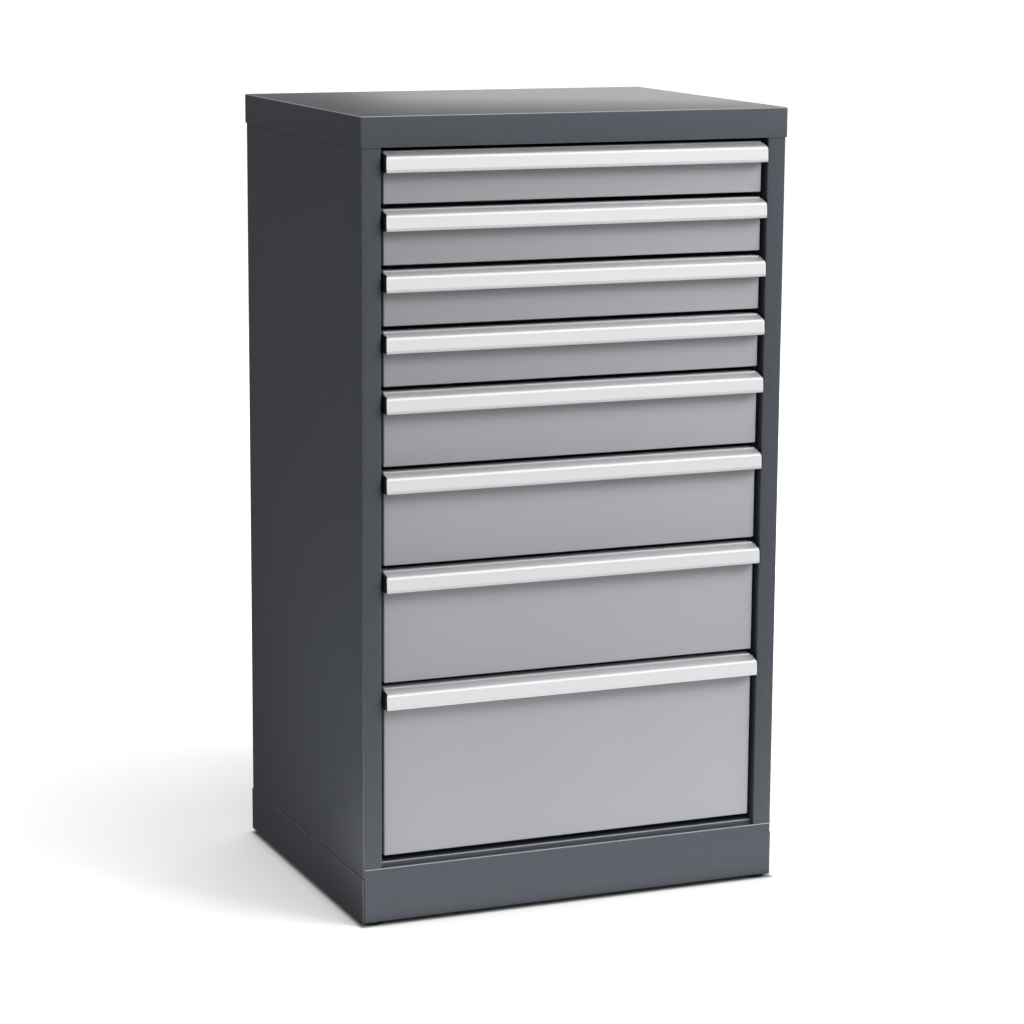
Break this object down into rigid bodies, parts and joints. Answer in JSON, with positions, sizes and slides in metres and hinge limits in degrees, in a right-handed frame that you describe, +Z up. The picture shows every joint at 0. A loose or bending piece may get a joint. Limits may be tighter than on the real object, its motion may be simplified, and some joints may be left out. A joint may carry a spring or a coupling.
{
  "type": "drawer cabinet",
  "caption": "Tall industrial steel cabinet of full-width drawers with aluminium grip strips, a folded cover and a plinth on levelling feet",
  "frame": {"origin": "on the floor under the middle of the overall box", "axes": "+Z up, the drawers face and open along -Y, +X to the right as seen from the front"},
  "size_m": [0.578, 0.461, 1.021],
  "materials": {
    "anthracite_paint": "fine-grain powder coat, low sheen",
    "front_paint": "satin silver-grey powder coat",
    "tray_paint": "satin silver-grey powder coat",
    "grip_aluminium": "natural anodised extrusion",
    "slide_steel": "bright zinc-plated rolled steel",
    "cap_plastic": "black moulded plastic",
    "foot_plastic": "black moulded plastic pad on a threaded stud"
  },
  "bodies": {
    "cabinet": {"top_cover": "anthracite_paint", "left_side_panel": "anthracite_paint", "right_side_panel": "anthracite_paint", "back_panel": "anthracite_paint", "floor_pan": "anthracite_paint", "plinth_front": "anthracite_paint", "plinth_surround": "anthracite_paint", "cabinet_rails": "slide_steel"},
    "drawer_1": {"drawer_1_tray": "tray_paint", "drawer_1_front": "front_paint", "drawer_1_handle": "grip_aluminium", "drawer_1_end_caps": "cap_plastic", "drawer_1_rails": "slide_steel"},
    "slide_1": {"slide_1_middle_rails": "slide_steel"},
    "drawer_2": {"drawer_2_tray": "tray_paint", "drawer_2_front": "front_paint", "drawer_2_handle": "grip_aluminium", "drawer_2_end_caps": "cap_plastic", "drawer_2_rails": "slide_steel"},
    "slide_2": {"slide_2_middle_rails": "slide_steel"},
    "drawer_3": {"drawer_3_tray": "tray_paint", "drawer_3_front": "front_paint", "drawer_3_handle": "grip_aluminium", "drawer_3_end_caps": "cap_plastic", "drawer_3_rails": "slide_steel"},
    "slide_3": {"slide_3_middle_rails": "slide_steel"},
    "drawer_4": {"drawer_4_tray": "tray_paint", "drawer_4_front": "front_paint", "drawer_4_handle": "grip_aluminium", "drawer_4_end_caps": "cap_plastic", "drawer_4_rails": "slide_steel"},
    "slide_4": {"slide_4_middle_rails": "slide_steel"},
    "drawer_5": {"drawer_5_tray": "tray_paint", "drawer_5_front": "front_paint", "drawer_5_handle": "grip_aluminium", "drawer_5_end_caps": "cap_plastic", "drawer_5_rails": "slide_steel"},
    "slide_5": {"slide_5_middle_rails": "slide_steel"},
    "drawer_6": {"drawer_6_tray": "tray_paint", "drawer_6_front": "front_paint", "drawer_6_handle": "grip_aluminium", "drawer_6_end_caps": "cap_plastic", "drawer_6_rails": "slide_steel"},
    "slide_6": {"slide_6_middle_rails": "slide_steel"},
    "drawer_7": {"drawer_7_tray": "tray_paint", "drawer_7_front": "front_paint", "drawer_7_handle": "grip_aluminium", "drawer_7_end_caps": "cap_plastic", "drawer_7_rails": "slide_steel"},
    "slide_7": {"slide_7_middle_rails": "slide_steel"},
    "drawer_8": {"drawer_8_tray": "tray_paint", "drawer_8_front": "front_paint", "drawer_8_handle": "grip_aluminium", "drawer_8_end_caps": "cap_plastic", "drawer_8_rails": "slide_steel"},
    "slide_8": {"slide_8_middle_rails": "slide_steel"},
    "foot_front_left": {"foot_front_left": "foot_plastic"},
    "foot_front_right": {"foot_front_right": "foot_plastic"},
    "foot_back_left": {"foot_back_left": "foot_plastic"},
    "foot_back_right": {"foot_back_right": "foot_plastic"}
  },
  "joints": [
    {"name": "drawer_1_slide", "type": "slide", "parent": "cabinet", "child": "drawer_1", "axis": [0, -1, 0], "range_m": [0, 0.38]},
    {"name": "slide_1_telescope", "type": "slide", "parent": "cabinet", "child": "slide_1", "axis": [0, -1, 0], "range_m": [0, 0.19]},
    {"name": "drawer_2_slide", "type": "slide", "parent": "cabinet", "child": "drawer_2", "axis": [0, -1, 0], "range_m": [0, 0.38]},
    {"name": "slide_2_telescope", "type": "slide", "parent": "cabinet", "child": "slide_2", "axis": [0, -1, 0], "range_m": [0, 0.19]},
    {"name": "drawer_3_slide", "type": "slide", "parent": "cabinet", "child": "drawer_3", "axis": [0, -1, 0], "range_m": [0, 0.38]},
    {"name": "slide_3_telescope", "type": "slide", "parent": "cabinet", "child": "slide_3", "axis": [0, -1, 0], "range_m": [0, 0.19]},
    {"name": "drawer_4_slide", "type": "slide", "parent": "cabinet", "child": "drawer_4", "axis": [0, -1, 0], "range_m": [0, 0.38]},
    {"name": "slide_4_telescope", "type": "slide", "parent": "cabinet", "child": "slide_4", "axis": [0, -1, 0], "range_m": [0, 0.19]},
    {"name": "drawer_5_slide", "type": "slide", "parent": "cabinet", "child": "drawer_5", "axis": [0, -1, 0], "range_m": [0, 0.38]},
    {"name": "slide_5_telescope", "type": "slide", "parent": "cabinet", "child": "slide_5", "axis": [0, -1, 0], "range_m": [0, 0.19]},
    {"name": "drawer_6_slide", "type": "slide", "parent": "cabinet", "child": "drawer_6", "axis": [0, -1, 0], "range_m": [0, 0.38]},
    {"name": "slide_6_telescope", "type": "slide", "parent": "cabinet", "child": "slide_6", "axis": [0, -1, 0], "range_m": [0, 0.19]},
    {"name": "drawer_7_slide", "type": "slide", "parent": "cabinet", "child": "drawer_7", "axis": [0, -1, 0], "range_m": [0, 0.38]},
    {"name": "slide_7_telescope", "type": "slide", "parent": "cabinet", "child": "slide_7", "axis": [0, -1, 0], "range_m": [0, 0.19]},
    {"name": "drawer_8_slide", "type": "slide", "parent": "cabinet", "child": "drawer_8", "axis": [0, -1, 0], "range_m": [0, 0.38]},
    {"name": "slide_8_telescope", "type": "slide", "parent": "cabinet", "child": "slide_8", "axis": [0, -1, 0], "range_m": [0, 0.19]},
    {"name": "foot_front_left_screw", "type": "slide", "parent": "cabinet", "child": "foot_front_left", "axis": [0, 0, -1], "range_m": [0, 0.012]},
    {"name": "foot_front_right_screw", "type": "slide", "parent": "cabinet", "child": "foot_front_right", "axis": [0, 0, -1], "range_m": [0, 0.012]},
    {"name": "foot_back_left_screw", "type": "slide", "parent": "cabinet", "child": "foot_back_left", "axis": [0, 0, -1], "range_m": [0, 0.012]},
    {"name": "foot_back_right_screw", "type": "slide", "parent": "cabinet", "child": "foot_back_right", "axis": [0, 0, -1], "range_m": [0, 0.012]}
  ],
  "couplings": [
    {"joint": "slide_1_telescope", "follows": "drawer_1_slide", "ratio": 0.5},
    {"joint": "slide_2_telescope", "follows": "drawer_2_slide", "ratio": 0.5},
    {"joint": "slide_3_telescope", "follows": "drawer_3_slide", "ratio": 0.5},
    {"joint": "slide_4_telescope", "follows": "drawer_4_slide", "ratio": 0.5},
    {"joint": "slide_5_telescope", "follows": "drawer_5_slide", "ratio": 0.5},
    {"joint": "slide_6_telescope", "follows": "drawer_6_slide", "ratio": 0.5},
    {"joint": "slide_7_telescope", "follows": "drawer_7_slide", "ratio": 0.5},
    {"joint": "slide_8_telescope", "follows": "drawer_8_slide", "ratio": 0.5}
  ]
}
